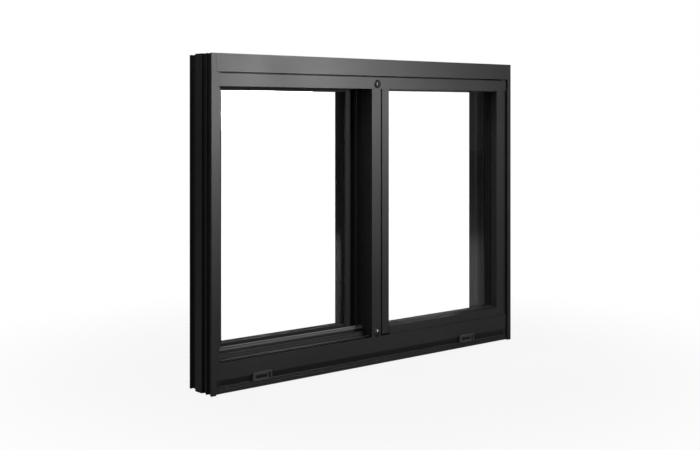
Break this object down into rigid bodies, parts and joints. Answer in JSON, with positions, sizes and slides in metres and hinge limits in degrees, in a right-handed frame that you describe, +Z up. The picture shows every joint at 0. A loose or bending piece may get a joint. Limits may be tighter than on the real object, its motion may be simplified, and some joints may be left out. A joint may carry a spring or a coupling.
{
  "type": "horizontal sliding window",
  "caption": "Aluminium window with a fixed lite and a sliding sash in a shared frame, with a meeting mullion, glazing beads and weep covers.",
  "frame": {"origin": "middle of the underside of the frame, where the window rests", "axes": "+X along the window to the right as seen from outside, +Y into the room, +Z up"},
  "size_m": [0.762, 0.07, 0.59],
  "materials": {
    "frame": "satin black coat",
    "sash": "satin black coat",
    "glass": "clear",
    "spacer": "satin black",
    "seal": "matt",
    "pile": "woven pile",
    "track": "satin",
    "weep_plastic": "semi-gloss",
    "roller_plastic": "matt",
    "hardware": "satin",
    "screw": "semi-gloss"
  },
  "bodies": {
    "root": {"frame_left_jamb": "frame", "frame_right_jamb": "frame", "frame_head": "frame", "frame_sill": "frame", "sill_track": "track", "weep_cover_left": "weep_plastic", "weep_cover_right": "weep_plastic", "meeting_mullion": "frame", "mullion_bead": "frame", "fixed_bottom_bead": "frame", "fixed_top_bead": "frame", "fixed_right_bead": "frame", "fixed_outer_pane": "glass", "fixed_inner_pane": "glass", "fixed_spacer": "spacer", "fixed_outer_seal": "seal", "fixed_inner_seal": "seal", "fixed_setting_blocks": "seal", "right_jamb_cover": "frame", "sash_left_stile": "sash", "sash_interlock_stile": "sash", "sash_bottom_rail": "sash", "sash_top_rail": "sash", "sash_outer_pane": "glass", "sash_inner_pane": "glass", "sash_spacer": "spacer", "sash_outer_seal": "seal", "sash_inner_seal": "seal", "sash_setting_blocks": "seal", "roller_housing_left": "roller_plastic", "sash_roller_left": "roller_plastic", "roller_housing_right": "roller_plastic", "sash_roller_right": "roller_plastic", "meeting_pile": "pile", "sash_latch": "hardware", "mullion_screw_top": "screw", "mullion_screw_foot": "screw"}
  },
  "joints": []
}
